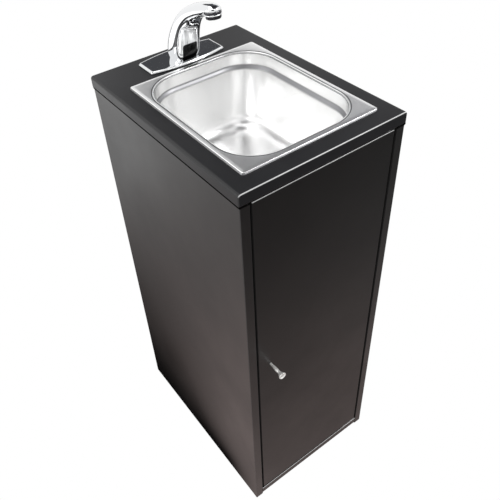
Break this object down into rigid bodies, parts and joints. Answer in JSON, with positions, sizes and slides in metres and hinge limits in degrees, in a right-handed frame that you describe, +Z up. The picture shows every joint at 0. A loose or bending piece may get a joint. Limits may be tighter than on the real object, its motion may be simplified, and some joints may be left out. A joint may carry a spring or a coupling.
{
  "type": "portable handwash sink",
  "caption": "Tall narrow cabinet with an inset door, a drop-in steel pan basin, a touch-free faucet on a deck plate, and tanks, pump and battery inside.",
  "frame": {"origin": "on the floor, under the middle of the whole sink with its knob", "axes": "+Z up, -Y towards the door and the user, +X to the right seen from the front"},
  "size_m": [0.327, 0.4792, 1.0197],
  "materials": {
    "black_laminate": "black melamine-faced board, low sheen",
    "bare_wood": "planed softwood",
    "zinc_steel": "zinc-plated steel",
    "grey_nylon": "moulded grey nylon",
    "satin_nickel": "satin nickel",
    "black_plastic": "moulded black plastic",
    "stainless_steel": "satin stainless steel",
    "black_rubber": "black rubber",
    "drain_hose_vinyl": "grey corrugated vinyl",
    "chrome_plate": "bright chrome plate",
    "sensor_gloss": "glossy black lens plastic",
    "brass": "machined brass",
    "braided_steel": "woven steel braid over hose",
    "control_plastic": "moulded dark grey plastic",
    "tank_polyethylene": "translucent natural polyethylene",
    "cap_plastic": "ribbed black plastic",
    "motor_paint": "black enamelled can",
    "clear_vinyl": "clear vinyl hose",
    "battery_case": "black battery case",
    "strap_webbing": "black woven webbing",
    "lead_insulation": "red and black insulation",
    "rocker_plastic": "glossy black rocker"
  },
  "bodies": {
    "root": {"top_board": "black_laminate", "left_side_board": "black_laminate", "right_side_board": "black_laminate", "bottom_board": "black_laminate", "back_board": "black_laminate", "front_rail": "black_laminate", "equipment_shelf": "black_laminate", "top_battens": "bare_wood", "shelf_battens": "bare_wood", "panel_dowels": "bare_wood", "wood_screws": "zinc_steel", "floor_glides": "grey_nylon", "lower_pivot": "zinc_steel", "upper_pivot": "zinc_steel", "pivot_thrust_washer": "grey_nylon", "pivot_screws": "zinc_steel", "catch_body": "black_plastic", "catch_magnet": "zinc_steel", "basin_pan": "stainless_steel", "drain_flange": "stainless_steel", "drain_gasket": "black_rubber", "drain_lock_nut": "black_plastic", "drain_tailpiece": "black_plastic", "drain_hose": "drain_hose_vinyl", "faucet_body": "chrome_plate", "sensor_window": "sensor_gloss", "aerator": "black_plastic", "deck_plate": "chrome_plate", "deck_gasket": "black_rubber", "faucet_stud": "zinc_steel", "horseshoe_washer": "zinc_steel", "mounting_nut": "brass", "sensor_cable": "black_rubber", "supply_hose": "braided_steel", "control_box_base": "control_plastic", "control_box_cover": "control_plastic", "control_box_fittings": "brass", "fresh_tank": "tank_polyethylene", "waste_tank": "tank_polyethylene", "pump_motor": "motor_paint", "pump_head": "black_plastic", "pump_base": "zinc_steel", "pump_feet": "black_rubber", "pump_ports": "black_plastic", "suction_hose": "clear_vinyl", "pressure_hose": "clear_vinyl", "battery": "battery_case", "battery_terminals": "brass", "battery_strap": "strap_webbing", "power_leads": "lead_insulation", "switch_box": "black_plastic", "hose_clamps": "zinc_steel"},
    "door": {"door_board": "black_laminate", "door_knob": "satin_nickel", "knob_screw": "zinc_steel", "pivot_bushes": "grey_nylon", "catch_strike": "zinc_steel"},
    "fresh_cap": {"fresh_tank_cap": "cap_plastic"},
    "waste_cap": {"waste_tank_cap": "cap_plastic"},
    "rocker": {"switch_rocker": "rocker_plastic"}
  },
  "joints": [
    {"name": "door_hinge", "type": "hinge", "parent": "root", "child": "door", "pos_m": [0.132, -0.1981, 0.4445], "axis": [0, 0, 1], "range_deg": [0, 110]},
    {"name": "fresh_cap_turn", "type": "hinge", "parent": "root", "child": "fresh_cap", "pos_m": [-0.072, -0.1136, 0.38], "axis": [0, 0, 1], "range_deg": [0, 450]},
    {"name": "waste_cap_turn", "type": "hinge", "parent": "root", "child": "waste_cap", "pos_m": [0.072, -0.1136, 0.38], "axis": [0, 0, 1], "range_deg": [0, 450]},
    {"name": "switch_rock", "type": "hinge", "parent": "root", "child": "rocker", "pos_m": [0.049, 0.0436, 0.497], "axis": [1, 0, 0], "range_deg": [0, 16]}
  ]
}
